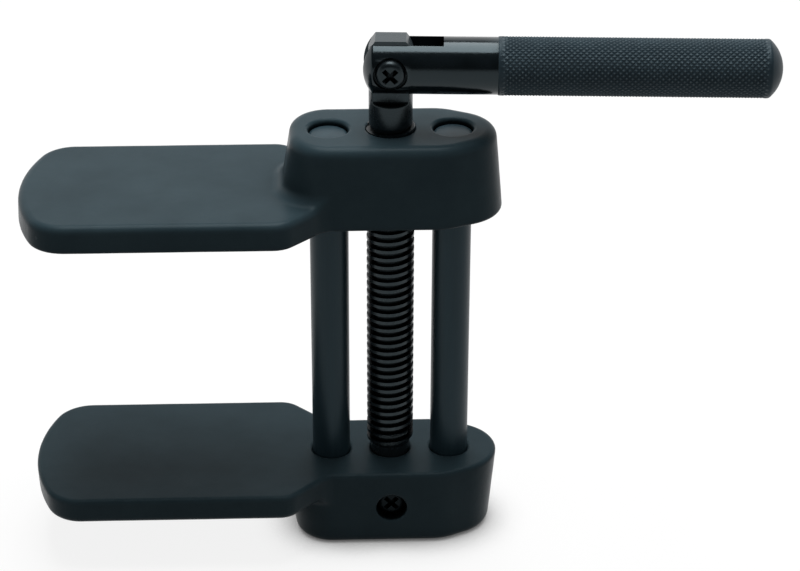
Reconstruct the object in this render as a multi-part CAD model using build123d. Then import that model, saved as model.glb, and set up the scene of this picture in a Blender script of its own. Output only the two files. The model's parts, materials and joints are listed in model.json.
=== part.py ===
from build123d import *
import os
from math import floor, radians, sin, sqrt, tan

# A hand-cranked spreader that pushes disc brake pads and pistons apart. Sizes are in millimetres.
# X runs from the paddle tips to the free end of the handle, Y to the back and Z up the screw.
# The origin is on the foot of the lower jaw, on the screw's axis.

# Jaws: two forgings, mirror images of each other, each a block with a flat paddle at one side
jaw_gap = 94.0
block_height = 29.0
block_width = 37.5
block_nose = 37.2  # from the screw's axis to the block's free end
block_nose_round = 16.0
block_waist = 14.0  # from the screw's axis to where the block starts to narrow
block_heel = 37.4  # from the screw's axis to the block's end above the paddle
block_heel_round = 14.0
block_edge_round = 3.5
boss_foot_round = 4.0
draft_angle = 2.5
nose_draft_angle = 5.0
heel_draft_angle = 9.0
paddle_thickness = 9.5
paddle_width = 64.0
paddle_reach = 123.0  # from the screw's axis to the paddle's tip
paddle_tip_bow = 60.0
paddle_tip_round = 13.0
paddle_edge_round = 2.5
face_edge_round = 1.2
neck_start = 35.0  # from the screw's axis to where the paddle's sides turn in to the block
neck_outer_round = 8.5
neck_inner_round = 10.0
neck_dip = 0.4  # how far inside the block's flanks the neck ends

# Guide rods, pressed into the lower jaw and sliding in the upper one
rod_spacing = 41.0
rod_diameter = 13.0
rod_end_chamfer = 0.8
rod_seat_depth = 24.0
rod_top_gap = 1.8  # how far the rods stay below the top of the upper jaw
rod_hole_chamfer = 0.8
sliding_clearance = 0.05

# Drive screw: journal in the lower jaw, thread through the upper one, tang for the handle
thread_diameter = 16.0
thread_pitch = 3.0
thread_depth = 1.3
thread_crest = 1.15
thread_flank_angle = 15.0
thread_start_height = 3.5  # above the lower jaw's face
thread_top_height = 2.0  # above the upper jaw
thread_clearance = 0.15
thread_lead_chamfer = 1.2
thread_sink = 0.1  # how far the ridge runs into its core
nut_mouth_chamfer = 0.3
journal_diameter = 13.6
journal_clearance = 0.05
journal_chamfer = 0.8
bore_mouth_chamfer = 0.5
neck_diameter = 14.4
shoulder_height = 10.3  # above the upper jaw
tang_thickness = 8.0
tang_top = 9.7  # above the hinge
tang_chamfer_width = 2.2
tang_chamfer_height = 3.0
tang_foot_round = 0.8  # the hollow corner between a flat and the shoulder
shoulder_round = 0.6
hinge_height = 22.2  # above the upper jaw

# Thrust ball under the screw, between two drilled cones
ball_diameter = 6.0
ball_clearance = 0.02
bore_floor = 3.5  # wall left under the point of the screw's bore
drill_half_angle = 59.0
journal_end_gap = 4.7  # from the point of the bore to the end of the journal

# Machine screws with domed, cross-recessed heads: one hinge screw, one that retains the drive screw
bolt_diameter = 5.0
bolt_clearance = 0.05
bolt_tip_chamfer = 0.5
head_diameter = 9.5
head_height = 3.0
head_round = 1.8
recess_length = 6.0
recess_width = 1.6
recess_depth = 1.7
recess_floor_length = 3.2
recess_floor_width = 1.2
retainer_height = 14.9
retainer_bore_diameter = 10.5
retainer_bore_depth = 6.4
retainer_play = 0.2
retainer_groove_depth = 1.4
retainer_tip_gap = 0.3

# Handle: one turned bar, forked at the hinge and thicker over the grip
handle_yaw = -3.1  # the way the crank points, measured about the screw from +X
handle_diameter = 18.7
handle_heel = 9.5  # from the hinge to the fork's domed end
handle_heel_dome = 14.0
handle_reach = 126.5  # from the hinge to the end of the grip
grip_diameter = 19.2
grip_start = 35.0
grip_end_dome = 12.5
grip_shoulder = 0.4
slot_reach = 17.1  # from the hinge to the closed end of the fork's slot
slot_clearance = 0.15
hinge_bore_diameter = 11.2
hinge_seat = 7.0  # from the handle's axis to the seat under the hinge screw's head
hinge_bolt_end = 9.0  # from the handle's axis to the tip of the hinge screw

# Places that follow from the sizes above
face_low = block_height
face_high = block_height + jaw_gap
top_high = face_high + block_height
rod_low = face_low - rod_seat_depth
rod_high = top_high - rod_top_gap
thread_low = face_low + thread_start_height
thread_high = top_high + thread_top_height
journal_low = bore_floor + journal_end_gap
shoulder = top_high + shoulder_height
hinge = top_high + hinge_height
ball_rise = ball_diameter / 2 / sin(radians(drill_half_angle))  # a cone's point to the ball's centre
ball_centre = bore_floor + ball_rise + ball_clearance
big = 400.0  # longer than anything here, for cutting
near = 0.05  # how closely an edge or corner is matched to the place it is looked for


def inset_at(height):
    # How much the drafted sides of a forging have closed in at a height above its working face
    return height * tan(radians(draft_angle))


def round_edges(x, y, radius):
    # A circle's edge whose seam faces the middle of the block
    seam = 180 if x > 0 else 0
    return (Pos(x, y) * Rot(0, 0, seam) * Circle(radius)).edges()


def block_plan(height):
    inset = inset_at(height)
    nose_round = block_nose_round - inset
    heel_round = block_heel_round - inset
    nose = block_nose - height * tan(radians(nose_draft_angle)) - nose_round
    heel = heel_round - block_heel + height * tan(radians(heel_draft_angle))
    corner = block_width / 2 - block_heel_round
    edges = []
    edges += round_edges(nose, 0, nose_round)
    edges += round_edges(block_waist, 0, block_width / 2 - inset)
    edges += round_edges(heel, corner, heel_round)
    edges += round_edges(heel, -corner, heel_round)
    return make_hull(edges)


def corners(sketch, x, y):
    # The two corners of a sketch at x and at y to either side
    return [v for v in sketch.vertices() if abs(v.X - x) < near and abs(abs(v.Y) - y) < near]


def paddle_plan(height):
    inset = inset_at(height)
    side = paddle_width / 2 - inset
    flank = block_width / 2 - neck_dip - inset
    turn = -neck_start - inset * tan(radians(22.5))  # the neck's sides run in at 45 degrees
    throat = turn + side - flank
    tip = inset - paddle_reach
    outline = Polyline(
        (2 * tip, -side), (turn, -side), (throat, -flank), (0, -flank),
        (0, flank), (throat, flank), (turn, side), (2 * tip, side), close=True,
    )
    bow = paddle_tip_bow - inset
    bow_centre = paddle_tip_bow - paddle_reach
    keep = Pos(bow_centre, 0) * Circle(bow) + Pos(bow_centre + big / 2, 0) * Rectangle(big, big)
    plan = make_face(outline) & keep
    tip_corners = [v for v in plan.vertices() if v.X < bow_centre]
    plan = fillet(tip_corners, paddle_tip_round - inset)
    plan = fillet(corners(plan, turn, side), neck_outer_round - inset)
    return fillet(corners(plan, throat, flank), neck_inner_round + inset)


def drafted(plan, height):
    return loft([plan(0), Pos(0, 0, height) * plan(height)], ruled=True)


def rounded_block():
    block = drafted(block_plan, block_height)
    top = [e for e in block.edges() if e.center().Z > block_height - near]
    return fillet(top, block_edge_round)


def paddle_and_foot():
    # The paddle, with the hollow fillet that leads up to the block
    slab = Pos(0, 0, paddle_thickness / 2) * Box(big, big, paddle_thickness)
    boss = slab + rounded_block()
    foot = [
        e for e in boss.edges()
        if abs(e.center().Z - paddle_thickness) < near
        and abs(e.center().X) < big / 2 - 1 and abs(e.center().Y) < big / 2 - 1
    ]
    boss = fillet(foot, boss_foot_round)
    return drafted(paddle_plan, paddle_thickness + boss_foot_round) & boss


def jaw_blank():
    # A forging with its working face at Z = 0 and its block standing up
    blank = paddle_and_foot() + rounded_block()
    rim = (Pos(0, 0, paddle_thickness) * paddle_plan(paddle_thickness)).wire()
    outer = [
        e for e in blank.edges()
        if abs(e.center().Z - paddle_thickness) < near and rim.distance_to(e.center()) < near
    ]
    blank = fillet(outer, paddle_edge_round)
    face = [e for e in blank.edges() if e.bounding_box().max.Z < near]
    return fillet(face, face_edge_round)


def peg(radius, low, high, chamfer_low=0.0, chamfer_high=0.0):
    # A turned pin on the Z axis. A negative chamfer flares the end, for cutting a hole's mouth.
    points = [
        (0, low), (radius - chamfer_low, low), (radius, low + abs(chamfer_low)),
        (radius, high - abs(chamfer_high)), (radius - chamfer_high, high), (0, high),
    ]
    outline = [p for p, before in zip(points, [None] + points) if p != before]
    return revolve(Plane.XZ * make_face(Polyline(*outline, close=True)), Axis.Z)


def at_rods(solid):
    return [Pos(side * rod_spacing / 2, 0, 0) * solid for side in (-1, 1)]


def guide_rod(side):
    rod = peg(rod_diameter / 2, rod_low, rod_high, rod_end_chamfer, rod_end_chamfer)
    return Pos(side * rod_spacing / 2, 0, 0) * rod


def thread_ridge(radius, crest, depth, length):
    # One helical ridge on the Z axis, from Z = 0 up, sunk a little into its core
    core = radius - depth
    sunk = core - thread_sink
    slope = tan(radians(thread_flank_angle))
    root = crest / 2 + (radius - sunk) * slope
    profile = Polyline(
        (sunk, 0, -root), (radius, 0, -crest / 2), (radius, 0, crest / 2), (sunk, 0, root), close=True,
    )
    path = Helix(pitch=thread_pitch, height=length, radius=core)
    return sweep(make_face(profile), path=path, is_frenet=True)


def tapped_hole():
    # What the thread of the upper jaw leaves open: the screw's own thread, larger by its clearance
    turns_below = floor((face_high - thread_low) / thread_pitch) - 1
    low = thread_low + turns_below * thread_pitch
    high = top_high + 2 * thread_pitch
    radius = thread_diameter / 2 + thread_clearance
    ridge = thread_ridge(radius, thread_crest + 2 * thread_clearance, thread_depth, high - low)
    core = peg(radius - thread_depth, low, high)
    lower_mouth = cone_mouth(radius, face_high, 1)
    upper_mouth = cone_mouth(radius, top_high, -1)
    return core + Pos(0, 0, low) * ridge + lower_mouth + upper_mouth


def cone_mouth(radius, face, inward):
    # A countersink at a hole's mouth, widest at the face
    wide = radius + nut_mouth_chamfer
    narrow = radius - thread_depth
    depth = inward * (wide - narrow)
    outline = Polyline((0, face), (wide, face), (narrow, face + depth), (0, face + depth), close=True)
    return revolve(Plane.XZ * make_face(outline), Axis.Z)


def upper_jaw():
    jaw = Pos(0, 0, face_high) * jaw_blank()
    radius = rod_diameter / 2 + sliding_clearance
    hole = peg(radius, face_high, top_high, -rod_hole_chamfer, -rod_hole_chamfer)
    for cut in at_rods(hole):
        jaw -= cut
    return jaw - tapped_hole()


def screw_bore():
    # The blind bore of the lower jaw, with the drill's cone at its bottom
    radius = journal_diameter / 2 + journal_clearance
    cone_top = bore_floor + radius / tan(radians(drill_half_angle))
    outline = Polyline(
        (0, bore_floor), (radius, cone_top), (radius, face_low - bore_mouth_chamfer),
        (radius + bore_mouth_chamfer, face_low), (0, face_low), close=True,
    )
    return revolve(Plane.XZ * make_face(outline), Axis.Z)


def front_face():
    # How far the block's front flank is from the screw's axis at the retainer's height
    return block_width / 2 - inset_at(face_low - retainer_height)


def retainer_seat():
    return front_face() - retainer_bore_depth


def retainer_tip():
    return journal_diameter / 2 - retainer_groove_depth + retainer_tip_gap


def along_front(solid, height):
    # Stand a solid made on the Z axis so that it points out at the front, at a height
    return Pos(0, 0, height) * Rot(90, 0, 0) * solid


def lower_jaw():
    jaw = Pos(0, 0, face_low) * mirror(jaw_blank(), Plane.XY)
    hole = peg(rod_diameter / 2, rod_low, face_low, 0, -rod_hole_chamfer)
    for cut in at_rods(hole):
        jaw -= cut
    jaw -= screw_bore()
    jaw -= along_front(peg(retainer_bore_diameter / 2, retainer_seat(), block_width), retainer_height)
    return jaw - along_front(peg(bolt_diameter / 2 + bolt_clearance, 0, block_width / 2), retainer_height)


def thrust_ball():
    return Pos(0, 0, ball_centre) * Sphere(ball_diameter / 2)


def ball_cone():
    # The drilled cone in the end of the journal that sits on the ball
    point = ball_centre + ball_rise + ball_clearance
    mouth = (point - journal_low) * tan(radians(drill_half_angle))
    outline = Polyline((0, point), (mouth, journal_low), (0, journal_low), close=True)
    return revolve(Plane.XZ * make_face(outline), Axis.Z)


def screw_shaft():
    # Journal, thread and neck: everything turned on the screw's axis
    groove_width = bolt_diameter + 2 * retainer_play
    groove = Cylinder(journal_diameter, groove_width)
    groove -= Cylinder(journal_diameter / 2 - retainer_groove_depth, groove_width)
    shaft = peg(journal_diameter / 2, journal_low, thread_low, journal_chamfer, 0)
    shaft -= Pos(0, 0, retainer_height) * groove
    shaft -= ball_cone()
    shaft += peg(thread_diameter / 2 - thread_depth, thread_low, thread_high)
    shaft += peg(neck_diameter / 2, thread_high, hinge + tang_top)
    ridge = thread_ridge(thread_diameter / 2, thread_crest, thread_depth, thread_high - thread_low)
    lead = thread_lead_chamfer
    ends = peg(thread_diameter / 2 + thread_sink, thread_low, thread_high, lead, lead)
    return shaft + ((Pos(0, 0, thread_low) * ridge) & ends)


def tang_flat():
    # What is milled off the back of the neck's end to leave a flat and a shoulder
    cut = Box(big, big, big, align=(Align.CENTER, Align.MIN, Align.MIN))
    root = cut.edges().filter_by(Axis.X).sort_by(lambda e: e.center().Y + e.center().Z)[0]
    return Pos(0, tang_thickness / 2, shoulder) * fillet(root, tang_foot_round)


def tang_corner():
    # What is cut off the tang's top corner towards +X
    side = neck_diameter / 2
    top = hinge + tang_top
    slope = tang_chamfer_height / tang_chamfer_width
    outline = Polyline(
        (side - tang_chamfer_width, top), (side + 1, top), (side + 1, top - tang_chamfer_height - slope),
        close=True,
    )
    return extrude(Plane.XZ * make_face(outline), tang_thickness, both=True)


def drive_screw():
    screw = screw_shaft()
    for cut in (tang_flat(), mirror(tang_flat(), Plane.XZ), tang_corner(), mirror(tang_corner(), Plane.YZ)):
        screw -= cut
    rim = [
        e for e in screw.edges().filter_by(GeomType.CIRCLE)
        if abs(e.center().Z - shoulder) < near and abs(e.center().Y) > tang_thickness / 2
    ]
    screw = fillet(rim, shoulder_round)
    side = neck_diameter / 2
    screw -= along_front(peg(bolt_diameter / 2 + bolt_clearance, -side, side), hinge)
    return Rot(0, 0, handle_yaw) * screw


def cross(length, width):
    return (Rectangle(length, width) + Rectangle(width, length)).face()


def cross_recess(face):
    # A cross cut down from a face on the Z axis, narrowing a little to its bottom
    wide = cross(recess_length, recess_width)
    deep = cross(recess_floor_length, recess_floor_width)
    return loft([Pos(0, 0, face) * wide, Pos(0, 0, face - recess_depth) * deep], ruled=True)


def cross_bolt(seat, tip):
    # A pan-head screw on the Z axis, its head's underside at seat and its shank down to tip
    crown = seat + head_height
    head = peg(head_diameter / 2, seat, crown)
    head = fillet(head.edges().sort_by(Axis.Z)[-1], head_round)
    return head - cross_recess(crown) + peg(bolt_diameter / 2, tip, seat, bolt_tip_chamfer, 0)


def retaining_screw():
    bolt = cross_bolt(retainer_seat(), retainer_tip())
    return along_front(Rot(0, 0, 45) * bolt, retainer_height)


def at_hinge(solid):
    # From the handle's own frame, on its axis with the hinge at the origin, to its place
    return Rot(0, 0, handle_yaw) * Pos(0, 0, hinge) * solid


def handle_outline():
    bar = handle_diameter / 2
    grip = grip_diameter / 2
    heel_dome = handle_heel_dome - sqrt(handle_heel_dome ** 2 - bar ** 2)
    end_dome = grip_end_dome - sqrt(grip_end_dome ** 2 - grip ** 2)
    heel_mid = handle_heel_dome - sqrt(handle_heel_dome ** 2 - bar ** 2 / 4)
    end_mid = grip_end_dome - sqrt(grip_end_dome ** 2 - grip ** 2 / 4)
    end = handle_reach - end_dome
    return Wire([
        ThreePointArc((-handle_heel, 0), (heel_mid - handle_heel, bar / 2), (heel_dome - handle_heel, bar)),
        Line((heel_dome - handle_heel, bar), (grip_start - grip_shoulder, bar)),
        Line((grip_start - grip_shoulder, bar), (grip_start, grip)),
        Line((grip_start, grip), (end, grip)),
        ThreePointArc((end, grip), (handle_reach - end_mid, grip / 2), (handle_reach, 0)),
        Line((handle_reach, 0), (-handle_heel, 0)),
    ])


def handle_bar():
    bar = revolve(make_face(handle_outline()), Axis.X)
    width = tang_thickness + 2 * slot_clearance
    slot = Box(big, width, 2 * grip_diameter, align=(Align.MAX, Align.CENTER, Align.CENTER))
    bar -= Pos(slot_reach, 0, 0) * slot
    bar -= along_front(peg(bolt_diameter / 2 + bolt_clearance, -grip_diameter, grip_diameter), 0)
    bar -= along_front(peg(hinge_bore_diameter / 2, hinge_seat, grip_diameter), 0)
    return at_hinge(bar)


def hinge_screw():
    return at_hinge(along_front(Rot(0, 0, 45) * cross_bolt(hinge_seat, -hinge_bolt_end), 0))


nodes = {
    "lower_jaw": lower_jaw,
    "guide_rod_inner": lambda: guide_rod(-1),
    "guide_rod_outer": lambda: guide_rod(1),
    "thrust_ball": thrust_ball,
    "retaining_screw": retaining_screw,
    "upper_jaw": upper_jaw,
    "drive_screw": drive_screw,
    "handle_bar": handle_bar,
    "hinge_screw": hinge_screw,
}

os.makedirs("parts", exist_ok=True)
for name, make in nodes.items():
    solid = make()
    export_step(solid, f"parts/{name}.step")
    print(name, round(solid.volume), len(solid.solids()))
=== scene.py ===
import json
import math
import bpy
import bmesh
import numpy as np
from mathutils import Matrix, Vector


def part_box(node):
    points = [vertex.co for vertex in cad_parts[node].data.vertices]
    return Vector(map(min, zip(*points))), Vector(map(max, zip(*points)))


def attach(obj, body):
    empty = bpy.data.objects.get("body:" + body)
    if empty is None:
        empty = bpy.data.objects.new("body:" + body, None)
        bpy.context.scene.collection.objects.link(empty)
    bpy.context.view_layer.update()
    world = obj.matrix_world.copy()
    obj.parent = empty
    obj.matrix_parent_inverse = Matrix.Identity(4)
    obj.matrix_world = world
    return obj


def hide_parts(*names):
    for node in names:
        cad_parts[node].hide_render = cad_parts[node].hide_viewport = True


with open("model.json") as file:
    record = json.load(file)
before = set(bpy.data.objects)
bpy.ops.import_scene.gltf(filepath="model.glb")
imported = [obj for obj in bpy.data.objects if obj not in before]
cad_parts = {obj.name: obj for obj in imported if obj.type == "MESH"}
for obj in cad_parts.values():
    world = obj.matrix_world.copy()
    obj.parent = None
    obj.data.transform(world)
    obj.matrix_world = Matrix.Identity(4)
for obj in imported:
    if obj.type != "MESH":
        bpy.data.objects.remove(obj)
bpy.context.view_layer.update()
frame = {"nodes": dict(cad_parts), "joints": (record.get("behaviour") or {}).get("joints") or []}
nodes = frame["nodes"]
mm = 0.001
print("frame loaded")


# small helpers for the node trees

def addNode(tree, kind, **sockets):
    node = tree.nodes.new(kind)
    for key, value in sockets.items():
        node.inputs[key.replace("_", " ")].default_value = value
    return node


def newMaterial(name):
    material = bpy.data.materials.new(name)
    material.use_nodes = True
    tree = material.node_tree
    return material, tree, tree.nodes["Principled BSDF"]


def ramp(tree, source, stops):
    node = tree.nodes.new("ShaderNodeValToRGB")
    ends = node.color_ramp.elements
    ends[0].position, ends[0].color = stops[0][0], (*stops[0][1], 1)
    ends[1].position, ends[1].color = stops[-1][0], (*stops[-1][1], 1)
    for place, colour in stops[1:-1]:
        ends.new(place).color = (*colour, 1)
    tree.links.new(source, node.inputs["Fac"])
    return node.outputs["Color"]


def noise(tree, scale, detail=4.0, rough=0.55, stretch=(1, 1, 1)):
    place = tree.nodes.new("ShaderNodeTexCoord")
    mapping = tree.nodes.new("ShaderNodeMapping")
    mapping.inputs["Scale"].default_value = stretch
    cloud = addNode(tree, "ShaderNodeTexNoise", Scale=scale, Detail=detail, Roughness=rough)
    tree.links.new(place.outputs["Object"], mapping.inputs["Vector"])
    tree.links.new(mapping.outputs["Vector"], cloud.inputs["Vector"])
    return cloud.outputs["Fac"]


def mapRange(tree, source, start=(0, 1), end=(0, 1)):
    node = tree.nodes.new("ShaderNodeMapRange")
    for socket, value in zip(("From Min", "From Max", "To Min", "To Max"), (*start, *end)):
        node.inputs[socket].default_value = value
    tree.links.new(source, node.inputs["Value"])
    return node.outputs["Result"]


def combine(tree, operation, a, b):
    node = tree.nodes.new("ShaderNodeMath")
    node.operation = operation
    tree.links.new(a, node.inputs[0])
    tree.links.new(b, node.inputs[1])
    return node.outputs[0]


def bump(tree, height, depth, under=None):
    node = addNode(tree, "ShaderNodeBump", Strength=1.0, Distance=depth)
    tree.links.new(height, node.inputs["Height"])
    if under is not None:
        tree.links.new(under, node.inputs["Normal"])
    return node.outputs["Normal"]


def mixColour(tree, fac, a, b):
    node = tree.nodes.new("ShaderNodeMix")
    node.data_type = "RGBA"
    tree.links.new(fac, node.inputs["Factor"])
    for socket, value in ((node.inputs[6], a), (node.inputs[7], b)):
        if isinstance(value, tuple):
            socket.default_value = (*value, 1)
        else:
            tree.links.new(value, socket)
    return node.outputs[2]


def mottled(tree, source, look):
    return ramp(tree, source, [(0.3, look["dark"]), (0.7, look["light"])])


def wornEdges(tree, look):
    # how convex the surface is, from 0 on flats to 1 on sharp edges
    geometry = tree.nodes.new("ShaderNodeNewGeometry")
    return mapRange(tree, geometry.outputs["Pointiness"], look["wear"])


def rubbedPoints(tree, look):
    # the knurl's points, which its mesh marks as "rub", some rubbed more than others
    mark = tree.nodes.new("ShaderNodeAttribute")
    mark.attribute_name = "rub"
    points = mapRange(tree, mark.outputs["Fac"], look["wear"])
    spread = mapRange(tree, noise(tree, *look["patches"]), (0, 1), look["uneven"])
    return mapRange(tree, combine(tree, "MULTIPLY", points, spread))


def openness(tree, look, alone=True):
    # 1 out in the open, down to the darkest in corners and under overhangs; it scales painted shade
    # and the floor's painted contact shadow
    # alone counts only the piece's own corners, which stay when other pieces move
    node = tree.nodes.new("ShaderNodeAmbientOcclusion")
    node.samples = 6
    node.only_local = alone
    node.inputs["Distance"].default_value = look["reach"]
    clear = mapRange(tree, node.outputs["AO"], look["between"], (look["darkest"], 1))
    clear.node.interpolation_type = "SMOOTHSTEP"
    return clear


def paintedCornerShade(tree, colour, shader, look):
    # painted shade: colour and shine drop in corners, creases and thread roots, where shade falls
    clear = openness(tree, look["corners"])
    deep = tree.nodes.new("ShaderNodeVectorMath")
    deep.operation = "SCALE"
    tree.links.new(colour, deep.inputs[0])
    tree.links.new(clear, deep.inputs["Scale"])
    tree.links.new(deep.outputs["Vector"], shader.inputs["Base Color"])
    shine = mapRange(tree, clear, (0, 1), (0, look["specular"]))
    tree.links.new(shine, shader.inputs["Specular IOR Level"])


def finishShader(tree, shader, look, sheen, lines):
    # roughness that follows sheen, a tinted shine and fine relief from lines
    tree.links.new(mapRange(tree, sheen, (0, 1), look["roughness"]), shader.inputs["Roughness"])
    shader.inputs["Specular Tint"].default_value = (*look["tint"], 1)
    tree.links.new(lines, shader.inputs["Normal"])


# the coats, with each noise as scale, detail, roughness and stretch

jawCoat = {
    "dark": (0.029, 0.050, 0.061),
    "light": (0.039, 0.065, 0.078),
    "mottle": (45, 5, 0.6),
    "edge": (0.066, 0.096, 0.110),
    "wear": (0.53, 0.62),
    "roughness": (0.27, 0.35),
    "sheen": (900, 3),
    "specular": 0.06,
    "tint": (0.80, 0.95, 1.0),
    "grain": (2600, 4, 0.7),
    "grainDepth": 0.03 * mm,
    "waves": (70, 3),
    "waveDepth": 0.08 * mm,
    # painted shade in the jaw's own corners
    "corners": {"reach": 0.02, "between": (0.30, 0.92), "darkest": 0.06},
}


def blackPhosphate(look):
    material, tree, shader = newMaterial("blackPhosphate")
    colour = mottled(tree, noise(tree, *look["mottle"]), look)
    colour = mixColour(tree, wornEdges(tree, look), colour, look["edge"])
    paintedCornerShade(tree, colour, shader, look)
    waves = bump(tree, noise(tree, *look["waves"]), look["waveDepth"])
    grain = bump(tree, noise(tree, *look["grain"]), look["grainDepth"], waves)
    finishShader(tree, shader, look, noise(tree, *look["sheen"]), grain)
    return material


rodCoat = {
    "dark": (0.022, 0.042, 0.054),
    "light": (0.032, 0.060, 0.076),
    "streaks": (260, 4, 0.6, (1, 1, 0.04)),
    "roughness": (0.30, 0.42),
    "specular": 0.25,
    "tint": (0.75, 0.93, 1.0),
    "lines": (500, 3, 0.6, (0.3, 0.3, 8)),
    "lineDepth": 0.03 * mm,
}


def groundSteel(look):
    material, tree, shader = newMaterial("groundSteel")
    streaks = noise(tree, *look["streaks"])
    tree.links.new(mottled(tree, streaks, look), shader.inputs["Base Color"])
    shader.inputs["Specular IOR Level"].default_value = look["specular"]
    lines = bump(tree, noise(tree, *look["lines"]), look["lineDepth"])
    finishShader(tree, shader, look, streaks, lines)
    return material


screwCoat = {
    "dark": (0.003, 0.005, 0.006),
    "light": (0.007, 0.011, 0.014),
    "mottle": (120, 5, 0.6),
    "edge": (0.07, 0.09, 0.10),
    "wear": (0.54, 0.66),
    "roughness": (0.20, 0.32),
    "sheen": (300, 4),
    "specular": 0.4,
    "tint": (0.72, 0.92, 1.0),
    "lines": (900, 3),
    "lineDepth": 0.02 * mm,
    # painted shade in the thread roots and the screw's own corners
    "corners": {"reach": 0.007, "between": (0.50, 0.95), "darkest": 0.06},
}


def oiledBlack(name, look):
    material, tree, shader = newMaterial(name)
    colour = mottled(tree, noise(tree, *look["mottle"]), look)
    worn = rubbedPoints if "patches" in look else wornEdges
    colour = mixColour(tree, worn(tree, look), colour, look["edge"])
    paintedCornerShade(tree, colour, shader, look)
    sheen = noise(tree, *look["sheen"])
    lines = bump(tree, noise(tree, *look["lines"]), look["lineDepth"])
    finishShader(tree, shader, look, sheen, lines)
    return material


# the other blackened parts differ from the screw in these
handleCoat = dict(screwCoat, roughness=(0.12, 0.20), edge=(0.05, 0.066, 0.074), specular=0.38)
boltCoat = dict(screwCoat, roughness=(0.28, 0.4))
# the retaining screw sits deep in its counterbore: its darker edges and weaker shine are painted
# shade
retainerShadedCoat = dict(screwCoat, roughness=(0.4, 0.5), edge=(0.015, 0.018, 0.020), specular=0.10)
gripCoat = dict(
    screwCoat,
    dark=(0.024, 0.039, 0.050),
    light=(0.034, 0.055, 0.069),
    edge=(0.15, 0.20, 0.225),
    wear=(0.50, 1.0),
    patches=(420, 3, 0.8),  # where hands have rubbed the points
    uneven=(-0.6, 2.2),
    roughness=(0.36, 0.48),
    specular=0.20,
    # painted shade in the knurl's valleys
    corners={"reach": 0.002, "between": (0.20, 0.75), "darkest": 0.4},
)

jawSteel = blackPhosphate(jawCoat)
rodSteel = groundSteel(rodCoat)
screwSteel = oiledBlack("oiledScrew", screwCoat)
handleSteel = oiledBlack("oiledHandle", handleCoat)
boltSteel = oiledBlack("blackBolts", boltCoat)
retainerSteel = oiledBlack("retainerPaintedShade", retainerShadedCoat)
gripSteel = oiledBlack("blackGrip", gripCoat)
print("materials made")


def dress(name, material):
    mesh = nodes[name].data
    mesh.materials.clear()
    mesh.materials.append(material)


dress("thrust_ball", rodSteel)
dress("drive_screw", screwSteel)
dress("hinge_screw", boltSteel)
dress("retaining_screw", retainerSteel)


# shared mesh tools

def addPiece(name, bm, material, body, replaced=()):
    mesh = bpy.data.meshes.new(name)
    bm.to_mesh(mesh)
    bm.free()
    mesh.materials.append(material)
    piece = bpy.data.objects.new(name, mesh)
    bpy.context.scene.collection.objects.link(piece)
    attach(piece, body)
    if replaced:
        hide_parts(*replaced)
    return piece


def applyModifiers(piece):
    graph = bpy.context.evaluated_depsgraph_get()
    done = bpy.data.meshes.new_from_object(piece.evaluated_get(graph))
    piece.modifiers.clear()
    piece.data = done


def aroundBar(along, radius, part):
    angle = 2 * math.pi * part
    return Vector((along, radius * math.cos(angle), radius * math.sin(angle)))


def lathe(bm, outline, sides, place=Matrix()):
    # outline is (along, radius) pairs, turned about X
    rings = []
    for along, radius in outline:
        if radius == 0:
            rings.append([bm.verts.new(place @ Vector((along, 0, 0)))])
            continue
        ring = []
        for side in range(sides):
            ring.append(bm.verts.new(place @ aroundBar(along, radius, side / sides)))
        rings.append(ring)
    for low, high in zip(rings, rings[1:]):
        for side in range(sides):
            after = (side + 1) % sides
            corners = [low[side % len(low)], low[after % len(low)]]
            corners += [high[after % len(high)], high[side % len(high)]]
            # a ring of one point gives triangles
            bm.faces.new(list(dict.fromkeys(corners))).smooth = True
    return rings


def dome(tip, radius, rim, inward, steps=14):
    # from the tip out to the rim, inward is +1 or -1 along X
    widest = math.asin(rim / radius)
    turns = [widest * step / steps for step in range(steps + 1)]
    return [(tip + inward * radius * (1 - math.cos(turn)), radius * math.sin(turn)) for turn in turns]


def rounded(before, corner, after, size, steps=4):
    # an outline's corner taken off with a small round
    before, corner, after = (Vector(p) for p in (before, corner, after))
    start = corner + (before - corner).normalized() * size
    end = corner + (after - corner).normalized() * size
    points = []
    for step in range(steps + 1):
        t = step / steps
        points.append(tuple(start * (1 - t) ** 2 + corner * 2 * t * (1 - t) + end * t ** 2))
    return points


# the two forged jaws, with the soft uneven skin of a blasted forging

rodBoxes = [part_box(name) for name in ("guide_rod_inner", "guide_rod_outer")]
rodCentres = [(low[0] + high[0]) / 2 for low, high in rodBoxes]
jaws = {
    "voxel": 0.5 * mm,
    "smoothing": 2,
    "softness": 0.5,
    "waveDepth": 0.05 * mm,
    "waveSize": 34 * mm,
    "weld": 0.002 * mm,
    "rodHole": 6.55 * mm,
    "screwHole": {"lower_jaw": 6.85 * mm, "upper_jaw": 8.15 * mm},
    "holeSkin": 0.7 * mm,  # how far out the smoothing may have moved a hole's wall
    "holeMouth": 1.2 * mm,  # flared mouths, where only points inside the radius move
    "holeCore": 0.6,  # points nearer the axis than this part of the radius are left
}


def readVectors(items, field):
    values = np.empty(len(items) * 3)
    items.foreach_get(field, values)
    return values.reshape(-1, 3)


def swell(points, size):
    # slow waves between -1 and 1 that never quite repeat
    x, y, z = (points * (2 * math.pi / size)).T
    across = np.sin(x + 1.7 * np.sin(0.6 * y + z))
    along = np.sin(0.9 * y + 1.3 * np.sin(0.7 * x - z))
    return across * along * np.cos(0.8 * z + 0.5 * x)


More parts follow.
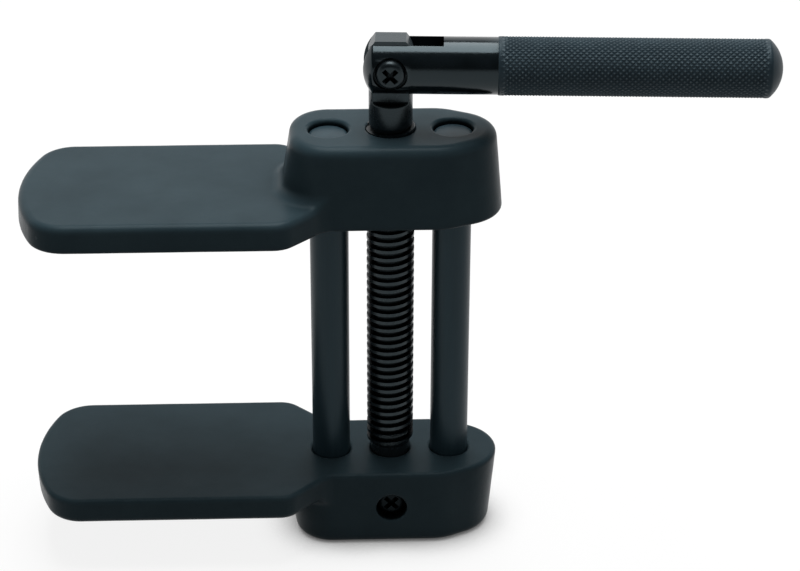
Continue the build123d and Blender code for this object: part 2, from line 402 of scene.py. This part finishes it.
def trueHole(points, low, high, centre, radius):
    # brings a hole's wall back to its radius after the smoothing
    # known fault: points that start inside the radius are moved twice and end past it, which
    # pushes the inner thread and the floors of the blind holes out into the hidden metal
    away = np.hypot(points[:, 0] - centre, points[:, 1])
    height = points[:, 2]
    hollow = away > radius * jaws["holeCore"]
    deep = (height > low[2] + jaws["holeMouth"]) & (height < high[2] - jaws["holeMouth"])
    wall = hollow & deep & (away < radius + jaws["holeSkin"])
    inside = hollow & (away < radius)
    for near in (wall, inside):
        grow = radius / away[near]
        points[near, 0] = centre + (points[near, 0] - centre) * grow
        points[near, 1] *= grow


def forgedJaw(name, body):
    source = nodes[name]
    bm = bmesh.new()
    bm.from_mesh(source.data)
    bmesh.ops.remove_doubles(bm, verts=bm.verts, dist=jaws["weld"])
    piece = addPiece(name.replace("_", "") + "Forging", bm, jawSteel, body, [name])
    remesh = piece.modifiers.new("skin", "REMESH")
    remesh.mode = "VOXEL"
    remesh.voxel_size = jaws["voxel"]
    relax = piece.modifiers.new("soften", "SMOOTH")
    relax.factor = jaws["softness"]
    relax.iterations = jaws["smoothing"]
    applyModifiers(piece)
    mesh = piece.data
    points = readVectors(mesh.vertices, "co")
    normals = readVectors(mesh.vertex_normals, "vector")
    low, high = (np.array(corner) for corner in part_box(name))
    sink = 0.5 * (swell(points, jaws["waveSize"]) + 1) * jaws["waveDepth"]
    points -= normals * sink[:, None]  # inward only, so the forging stays inside its box
    for centre in rodCentres:
        trueHole(points, low, high, centre, jaws["rodHole"])
    trueHole(points, low, high, 0.0, jaws["screwHole"][name])
    np.clip(points, low, high, out=points)
    mesh.vertices.foreach_set("co", points.ravel())
    mesh.polygons.foreach_set("use_smooth", np.ones(len(mesh.polygons), bool))
    mesh.materials.clear()
    mesh.materials.append(jawSteel)
    mesh.update()


forgedJaw("lower_jaw", "frame")
forgedJaw("upper_jaw", "sliding_jaw")
print("jaws forged")


# guide rods

rods = {"sides": 96, "endRound": 1.2 * mm, "sharpAngle": math.radians(35)}
upright = Matrix.Rotation(-math.pi / 2, 4, "Y")  # turns the lathe's X axis to Z

for name, (low, high) in zip(("guide_rod_inner", "guide_rod_outer"), rodBoxes):
    radius = (high[0] - low[0]) / 2
    length = high[2] - low[2]
    near, far = (0, radius), (length, radius)
    outline = [(0, 0)] + rounded((0, 0), near, far, rods["endRound"])
    outline += rounded(near, far, (length, 0), rods["endRound"]) + [(length, 0)]
    bm = bmesh.new()
    place = Matrix.Translation(((low[0] + high[0]) / 2, 0, low[2])) @ upright
    lathe(bm, outline, rods["sides"], place)
    bmesh.ops.recalc_face_normals(bm, faces=bm.faces)
    rod = addPiece(name.replace("_", "") + "Bar", bm, rodSteel, "frame", [name])
    rod.data.set_sharp_from_angle(angle=rods["sharpAngle"])
print("rods turned")


# the handle: a turned bar with a fork, and the grip knurled from the same bar

handle = {
    "barRadius": 9.35 * mm,
    "heel": 9.5 * mm,
    "heelDome": 14 * mm,
    "reach": 126.45 * mm,
    "gripStart": 35 * mm,
    "endDome": 12.5 * mm,
    "edge": 0.5 * mm,
    "slotReach": 17.1 * mm,
    "slotWidth": 8.3 * mm,
    "pinHole": 5.1 * mm,
    "headBore": 11.2 * mm,
    "headSeat": 7 * mm,
    "bevel": 0.35 * mm,
    "bevelSteps": 3,
    "bevelAngle": math.radians(40),
    "sharpAngle": math.radians(30),
    "barSides": 160,
    "barRings": (0.2, 0.5, 0.8, 1),
    "columns": 66,
    "rowStep": 0.97 * mm,
    "knurlDepth": 0.38 * mm,
    "knurlLead": 2 * mm,  # the grip's edge rises towards a point this far in
    "leadSink": 0.04 * mm,
    "collarGap": 0.1 * mm,
    "domeSteps": 18,
}
fold = next(joint for joint in frame["joints"] if joint["name"] == "crank_fold")
hinge = Vector(fold["pos_m"])
front = Vector(fold["axis"]).normalized()
outward = Vector((-front.y, front.x, 0))
crankPlace = Matrix.Translation(hinge) @ Matrix((outward, -front, (0, 0, 1))).transposed().to_4x4()


def cutter(name, bm):
    bmesh.ops.recalc_face_normals(bm, faces=bm.faces)
    mesh = bpy.data.meshes.new(name)
    bm.to_mesh(mesh)
    bm.free()
    tool = bpy.data.objects.new(name, mesh)
    bpy.context.scene.collection.objects.link(tool)
    return tool


def boxCutter(name, low, high, place):
    bm = bmesh.new()
    bmesh.ops.create_cube(bm, size=1)
    for vert in bm.verts:
        spot = [a if c < 0 else b for a, b, c in zip(low, high, vert.co)]
        vert.co = place @ Vector(spot)
    return cutter(name, bm)


def drill(name, radius, start, end, place, sides=64):
    bm = bmesh.new()
    lathe(bm, [(start, 0), (start, radius), (end, radius), (end, 0)], sides, place)
    return cutter(name, bm)


def cutAway(piece, tools):
    for tool in tools:
        cut = piece.modifiers.new(tool.name, "BOOLEAN")
        cut.operation = "DIFFERENCE"
        cut.solver = "EXACT"
        cut.object = tool
    applyModifiers(piece)
    for tool in tools:
        bpy.data.objects.remove(tool)


def forkedBar(look):
    bar = look["barRadius"]
    heel = dome(-look["heel"], look["heelDome"], bar, 1)
    corner = heel.pop()
    end = look["gripStart"]
    outline = heel + rounded(heel[-1], corner, (end, bar), look["edge"])
    outline += [(end * part, bar) for part in look["barRings"]] + [(end, 0)]
    bm = bmesh.new()
    lathe(bm, outline, look["barSides"], crankPlace)
    bmesh.ops.recalc_face_normals(bm, faces=bm.faces)
    piece = addPiece("forkedBar", bm, handleSteel, "crank", ["handle_bar"])
    half = look["slotWidth"] / 2
    big = 3 * bar  # well past the bar on every side
    toFront = crankPlace @ Matrix.Rotation(-math.pi / 2, 4, "Z")
    slot = boxCutter("slot", (-big, -half, -big), (look["slotReach"], half, big), crankPlace)
    pin = drill("pin", look["pinHole"] / 2, -big, big, toFront)
    seat = drill("seat", look["headBore"] / 2, look["headSeat"], big, toFront)
    cutAway(piece, [slot, pin, seat])
    bevel = piece.modifiers.new("bevel", "BEVEL")
    bevel.width = look["bevel"]
    bevel.segments = look["bevelSteps"]
    bevel.limit_method = "ANGLE"
    bevel.angle_limit = look["bevelAngle"]
    applyModifiers(piece)
    piece.data.polygons.foreach_set("use_smooth", np.ones(len(piece.data.polygons), bool))
    piece.data.set_sharp_from_angle(angle=look["sharpAngle"])


def knurledGrip(look):
    low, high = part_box("handle_bar")
    radius = (high[2] - low[2]) / 2
    bar, edge, columns = look["barRadius"], look["edge"], look["columns"]
    start = look["gripStart"]
    end = dome(look["reach"], look["endDome"], radius, -1, look["domeSteps"])
    endRim = end.pop()
    span = endRim[0] - edge - start - edge
    rows = 2 * int(span / look["rowStep"] / 2)
    step = span / rows
    bm = bmesh.new()
    rub = bm.verts.layers.float.new("rub")
    # a flat collar inside the bar, then the edge up to the grip
    firstRows = [(start - edge, 0), (start - edge, bar - look["collarGap"])]
    corner = (start, radius - look["leadSink"])
    full = (start + look["knurlLead"], radius)
    firstRows += rounded((start - edge, bar), corner, full, edge / 2)
    grid = [lathe(bm, firstRows, columns, crankPlace)[-1]]
    for row in range(1, rows):
        along = start + edge + row * step
        ring = []
        for column in range(columns):
            valley = (row + column) % 2
            depth = look["knurlDepth"] * valley
            if row in (1, rows - 1):
                depth *= 0.5
            vert = bm.verts.new(crankPlace @ aroundBar(along, radius - depth, column / columns))
            vert[rub] = 1 - valley
            ring.append(vert)
        grid.append(ring)
    endRows = rounded((start, radius), (endRim[0], radius), end[-1], edge) + end[::-1]
    grid.append(lathe(bm, endRows, columns, crankPlace)[0])
    for row, (near, far) in enumerate(zip(grid, grid[1:])):
        for column in range(columns):
            after = (column + 1) % columns
            a, b, c, d = near[column], near[after], far[after], far[column]
            # every square is split along its ridge
            halves = [(a, b, c), (a, c, d)] if (row + column) % 2 else [(a, b, d), (b, c, d)]
            for half in halves:
                bm.faces.new(half)
    bmesh.ops.recalc_face_normals(bm, faces=bm.faces)
    addPiece("knurledGrip", bm, gripSteel, "crank")


forkedBar(handle)
knurledGrip(handle)
print("handle turned and knurled")


# floor, light and camera

studio = {
    "floorSize": 30,
    "floorColour": (0.17, 0.17, 0.17),
    "floorRoughness": 0.9,
    "floorGlow": 0.87,
    "paintedContactShadow": {"reach": 0.016, "between": (0.20, 0.92), "darkest": 0.10},
    "skyHigh": 0.06,
    "skyFill": 0.14,
    "brightBehind": 0.35,
    "skyBand": (0.30, 0.50),  # where white turns to dark
}
softbox = {"size": (0.6, 1.0), "place": (0.0, 0.22, 1.2), "aim": (0, 0, 0.08), "power": 13}


def seenDirectly(tree):
    # 1 for what the camera sees and for what shows in metal or glass
    path = tree.nodes.new("ShaderNodeLightPath")
    total = path.outputs["Is Camera Ray"]
    for name in ("Is Glossy Ray", "Is Transmission Ray"):
        total = combine(tree, "MAXIMUM", total, path.outputs[name])
    return total


def makeFloor(look):
    bpy.ops.mesh.primitive_plane_add(size=look["floorSize"], location=(0, 0, 0))
    floor = bpy.context.object
    floor.name = "floor"
    material, tree, shader = newMaterial("paleFloor")
    shader.inputs["Base Color"].default_value = (*look["floorColour"], 1)
    shader.inputs["Roughness"].default_value = look["floorRoughness"]
    shader.inputs["Specular IOR Level"].default_value = 0.0
    shader.inputs["Emission Color"].default_value = (1, 1, 1, 1)
    glow = mapRange(tree, seenDirectly(tree), (0, 1), (0, look["floorGlow"]))
    # painted contact shadow: the floor's glow drops where the object is near, darkest where it meets
    # the floor
    clear = openness(tree, look["paintedContactShadow"], alone=False)
    tree.links.new(combine(tree, "MULTIPLY", glow, clear), shader.inputs["Emission Strength"])
    floor.data.materials.append(material)


def makeWorld(look):
    world = bpy.data.worlds.new("studio")
    bpy.context.scene.world = world
    world.use_nodes = True
    tree = world.node_tree
    background = tree.nodes["Background"]
    place = tree.nodes.new("ShaderNodeTexCoord")
    slope = tree.nodes.new("ShaderNodeVectorMath")
    slope.operation = "DOT_PRODUCT"
    slope.inputs[1].default_value = (0, -look["brightBehind"], 1)
    tree.links.new(place.outputs["Generated"], slope.inputs[0])
    white = (1, 1, 1)
    high = (look["skyHigh"],) * 3
    fill = (look["skyFill"],) * 3
    turn, end = look["skyBand"]
    sky = ramp(tree, slope.outputs["Value"], [(0.0, white), (turn, white), (end, high), (1.0, high)])
    colour = mixColour(tree, seenDirectly(tree), fill, sky)
    tree.links.new(colour, background.inputs["Color"])


def addLamp(name, look):
    light = bpy.data.lights.new(name, "AREA")
    light.shape = "RECTANGLE"
    light.size, light.size_y = look["size"]
    light.energy = look["power"]
    lamp = bpy.data.objects.new(name, light)
    lamp.location = look["place"]
    beam = Vector(look["aim"]) - Vector(look["place"])
    lamp.rotation_euler = beam.to_track_quat("-Z", "Y").to_euler()
    bpy.context.scene.collection.objects.link(lamp)


viewpoint = {
    "lens": 112.5,
    "sensor": 36,
    "azimuth": -2.253,
    "elevation": 28.5,
    "roll": 0.239,
    "distance": 0.846636,
    "target": (0.003287, 0.0, 0.092987),
}


def addCamera(look):
    turn, rise, roll = (math.radians(look[key]) for key in ("azimuth", "elevation", "roll"))
    back = Vector((math.sin(turn) * math.cos(rise), -math.cos(turn) * math.cos(rise), math.sin(rise)))
    side = Vector((0, 0, 1)).cross(back).normalized()
    up = back.cross(side)
    right = side * math.cos(roll) + up * math.sin(roll)
    camera = bpy.data.objects.new("camera", bpy.data.cameras.new("camera"))
    camera.data.lens = look["lens"]
    camera.data.sensor_width = look["sensor"]
    axes = Matrix((right, back.cross(right), back)).transposed().to_4x4()
    camera.matrix_world = Matrix.Translation(Vector(look["target"]) + back * look["distance"]) @ axes
    bpy.context.scene.collection.objects.link(camera)
    bpy.context.scene.camera = camera


makeFloor(studio)
makeWorld(studio)
addLamp("softbox", softbox)
addCamera(viewpoint)
bpy.context.scene.view_settings.view_transform = "Standard"
print("studio ready")
